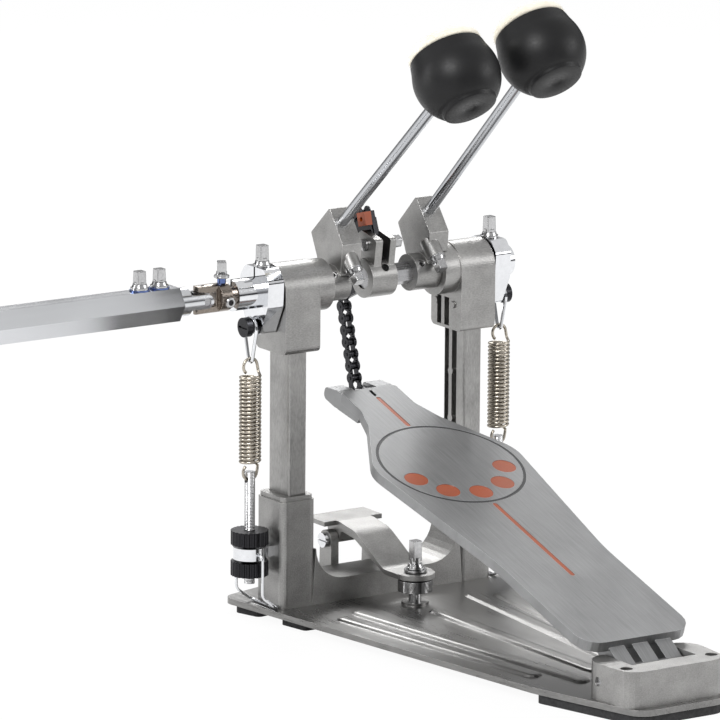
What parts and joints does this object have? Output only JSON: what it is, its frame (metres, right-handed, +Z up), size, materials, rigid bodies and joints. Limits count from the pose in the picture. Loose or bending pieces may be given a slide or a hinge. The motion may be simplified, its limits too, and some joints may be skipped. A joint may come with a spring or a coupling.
{
  "type": "double bass drum pedal",
  "caption": "Main pedal of a double bass drum pedal: two beaters, roller chain over a cam, tension springs, hoop clamp and a drive shaft with universal joints",
  "frame": {"origin": "on the floor, under the middle of the beater axle", "axes": "+Z up, +Y towards the drum, +X to the player's right"},
  "size_m": [0.602, 0.41, 0.421],
  "materials": {
    "cast_aluminium": "bead-blasted castings",
    "board_metal": "satin grey",
    "plate_metal": "grey hammered coat",
    "chrome": "polished",
    "plain_steel": "ground",
    "dark_nickel": "dark nickel plate",
    "spring_steel": "oiled spring wire",
    "black_chain": "blackened, oiled",
    "black_metal": "black oxide",
    "black_rubber": "moulded",
    "black_plastic": "moulded",
    "felt": "pressed wool felt",
    "orange_plastic": "inlaid"
  },
  "bodies": {
    "stand": {"base_plate": "plate_metal", "rubber_feet": "black_rubber", "lower_casting": "cast_aluminium", "uprights": "cast_aluminium", "bearing_housings": "cast_aluminium", "ball_races": "plain_steel", "heel_block": "cast_aluminium", "heel_pin": "plain_steel", "clamp_bracket": "cast_aluminium", "clamp_pin": "chrome", "spring_ears": "chrome", "nut_guards": "chrome"},
    "main_drive": {"main_axle": "plain_steel", "cam_hub": "cast_aluminium", "cam": "black_metal", "cam_insert": "orange_plastic", "cam_bolts": "chrome", "cam_chain": "black_chain", "right_beater_hub": "cast_aluminium", "right_rocker": "chrome", "right_roller": "black_metal", "right_bolts": "chrome"},
    "left_drive": {"left_axle": "dark_nickel", "left_beater_hub": "cast_aluminium", "left_rocker": "chrome", "left_roller": "black_metal", "left_bolts": "chrome"},
    "pedal_board": {"footboard": "board_metal", "board_inlays": "orange_plastic", "board_ring": "black_plastic"},
    "strand": {"chain_strand": "black_chain", "toe_pin": "plain_steel"},
    "lever": {"clamp_lever": "cast_aluminium"},
    "lever_washer": {"clamp_washer": "chrome"},
    "lever_screw": {"clamp_screw": "chrome"},
    "u_cross_near": {"near_cross": "plain_steel"},
    "shaft_tube": {"outer_tube": "chrome", "tube_bolts": "chrome"},
    "shaft_rod": {"inner_shaft": "chrome"},
    "u_cross_far": {"far_cross": "plain_steel"},
    "shaft_end": {"far_yoke": "dark_nickel"},
    "link_1": {"chain_link_1": "black_chain"},
    "link_2": {"chain_link_2": "black_chain"},
    "link_3": {"chain_link_3": "black_chain"},
    "link_4": {"chain_link_4": "black_chain"},
    "link_5": {"chain_link_5": "black_chain"},
    "right_beater": {"right_rod": "chrome"},
    "right_beater_head": {"right_head": "black_plastic", "right_felt": "felt"},
    "right_swing": {"right_eye_rod": "chrome", "right_spring": "spring_steel"},
    "right_nut_pair": {"right_nuts": "black_metal"},
    "right_loop": {"right_spring_link": "chrome"},
    "left_beater": {"left_rod": "chrome"},
    "left_beater_head": {"left_head": "black_plastic", "left_felt": "felt"},
    "left_swing": {"left_eye_rod": "chrome", "left_spring": "spring_steel"},
    "left_nut_pair": {"left_nuts": "black_metal"},
    "left_loop": {"left_spring_link": "chrome"}
  },
  "joints": [
    {"name": "main_stroke", "type": "hinge", "parent": "stand", "child": "main_drive", "pos_m": [0, 0, 0.222], "axis": [-1, 0, 0], "range_deg": [0, 46.64], "stiffness_Nm_per_rad": 0.8, "springref_deg": -30},
    {"name": "left_stroke", "type": "hinge", "parent": "stand", "child": "left_drive", "pos_m": [0, 0, 0.222], "axis": [-1, 0, 0], "range_deg": [0, 46.64], "stiffness_Nm_per_rad": 0.8, "springref_deg": -30},
    {"name": "board_heel", "type": "hinge", "parent": "stand", "child": "pedal_board", "pos_m": [0, -0.312, 0.022], "axis": [-1, 0, 0], "range_deg": [0, 6.4]},
    {"name": "link_5_turn", "type": "hinge", "parent": "main_drive", "child": "link_5", "pos_m": [0, 0.0352, 0.2484], "axis": [1, 0, 0], "range_deg": [0, 10.46]},
    {"name": "link_4_turn", "type": "hinge", "parent": "link_5", "child": "link_4", "pos_m": [0, 0.0394, 0.24159], "axis": [1, 0, 0], "range_deg": [0, 10.46]},
    {"name": "link_3_turn", "type": "hinge", "parent": "link_4", "child": "link_3", "pos_m": [0, 0.04229, 0.23414], "axis": [1, 0, 0], "range_deg": [0, 10.46]},
    {"name": "link_2_turn", "type": "hinge", "parent": "link_3", "child": "link_2", "pos_m": [0, 0.04379, 0.22628], "axis": [1, 0, 0], "range_deg": [0, 10.46]},
    {"name": "link_1_turn", "type": "hinge", "parent": "link_2", "child": "link_1", "pos_m": [0, 0.04384, 0.21828], "axis": [1, 0, 0], "range_deg": [0, 10.46]},
    {"name": "strand_turn", "type": "hinge", "parent": "link_1", "child": "strand", "pos_m": [0, 0.04244, 0.2104], "axis": [1, 0, 0], "range_deg": [0, 5.19]},
    {"name": "right_rod_slide", "type": "slide", "parent": "main_drive", "child": "right_beater", "axis": [0, -0.7108, 0.7034], "range_m": [-0.035, 0.015]},
    {"name": "right_head_turn", "type": "hinge", "parent": "right_beater", "child": "right_beater_head", "pos_m": [0.0415, 0.01998, 0.24219], "axis": [0, -0.7108, 0.7034], "continuous": true},
    {"name": "right_spring_swing", "type": "hinge", "parent": "stand", "child": "right_swing", "pos_m": [0.099, 0, 0.048], "axis": [1, 0, 0], "range_deg": [0, 5.9]},
    {"name": "right_spring_stretch", "type": "slide", "parent": "right_swing", "child": "right_loop", "axis": [0, 0, 1], "range_m": [0, 0.0079], "deforming": ["right_spring"]},
    {"name": "right_nuts_turn", "type": "hinge", "parent": "right_swing", "child": "right_nut_pair", "pos_m": [0.099, 0, 0.048], "axis": [0, 0, 1], "continuous": true},
    {"name": "left_rod_slide", "type": "slide", "parent": "left_drive", "child": "left_beater", "axis": [0, -0.7443, 0.6678], "range_m": [-0.035, 0.015]},
    {"name": "left_head_turn", "type": "hinge", "parent": "left_beater", "child": "left_beater_head", "pos_m": [-0.0285, 0.01897, 0.24314], "axis": [0, -0.7443, 0.6678], "continuous": true},
    {"name": "left_spring_swing", "type": "hinge", "parent": "stand", "child": "left_swing", "pos_m": [-0.099, 0, 0.048], "axis": [1, 0, 0], "range_deg": [0, 5.9]},
    {"name": "left_spring_stretch", "type": "slide", "parent": "left_swing", "child": "left_loop", "axis": [0, 0, 1], "range_m": [0, 0.0079], "deforming": ["left_spring"]},
    {"name": "left_nuts_turn", "type": "hinge", "parent": "left_swing", "child": "left_nut_pair", "pos_m": [-0.099, 0, 0.048], "axis": [0, 0, 1], "continuous": true},
    {"name": "lever_tilt", "type": "hinge", "parent": "stand", "child": "lever", "pos_m": [0, 0.0286, 0.04], "axis": [1, 0, 0], "range_deg": [0, 4.5]},
    {"name": "lever_washer_drop", "type": "slide", "parent": "stand", "child": "lever_washer", "axis": [0, 0, 1], "range_m": [-0.0065, 0]},
    {"name": "lever_screw_turn", "type": "hinge", "parent": "lever_washer", "child": "lever_screw", "pos_m": [0, -0.0483, 0.03], "axis": [0, 0, 1], "continuous": true},
    {"name": "near_yaw", "type": "hinge", "parent": "left_drive", "child": "u_cross_near", "pos_m": [-0.138, 0, 0.222], "axis": [0, 0, 1], "range_deg": [-23, 23]},
    {"name": "near_pitch", "type": "hinge", "parent": "u_cross_near", "child": "shaft_tube", "pos_m": [-0.138, 0, 0.222], "axis": [0, 1, 0], "range_deg": [-23, 23]},
    {"name": "shaft_slide", "type": "slide", "parent": "shaft_tube", "child": "shaft_rod", "axis": [1, 0, 0], "range_m": [-0.04, 0.06]},
    {"name": "far_yaw", "type": "hinge", "parent": "shaft_rod", "child": "u_cross_far", "pos_m": [-0.457, 0, 0.222], "axis": [0, 0, 1], "range_deg": [-23, 23]},
    {"name": "far_pitch", "type": "hinge", "parent": "u_cross_far", "child": "shaft_end", "pos_m": [-0.457, 0, 0.222], "axis": [0, 1, 0], "range_deg": [-23, 23]}
  ],
  "couplings": [
    {"joint": "board_heel", "follows": "main_stroke", "ratio": 0.1372},
    {"joint": "link_5_turn", "follows": "main_stroke", "ratio": 0.22418},
    {"joint": "link_4_turn", "follows": "main_stroke", "ratio": 0.22418},
    {"joint": "link_3_turn", "follows": "main_stroke", "ratio": 0.22418},
    {"joint": "link_2_turn", "follows": "main_stroke", "ratio": 0.22418},
    {"joint": "link_1_turn", "follows": "main_stroke", "ratio": 0.22418},
    {"joint": "strand_turn", "follows": "main_stroke", "ratio": 0.11111},
    {"joint": "right_spring_swing", "follows": "main_stroke", "ratio": 0.12629},
    {"joint": "right_spring_stretch", "follows": "main_stroke", "m_per_rad": 0.009698},
    {"joint": "left_spring_swing", "follows": "left_stroke", "ratio": 0.12629},
    {"joint": "left_spring_stretch", "follows": "left_stroke", "m_per_rad": 0.009698},
    {"joint": "lever_washer_drop", "follows": "lever_tilt", "m_per_rad": -0.0769}
  ]
}
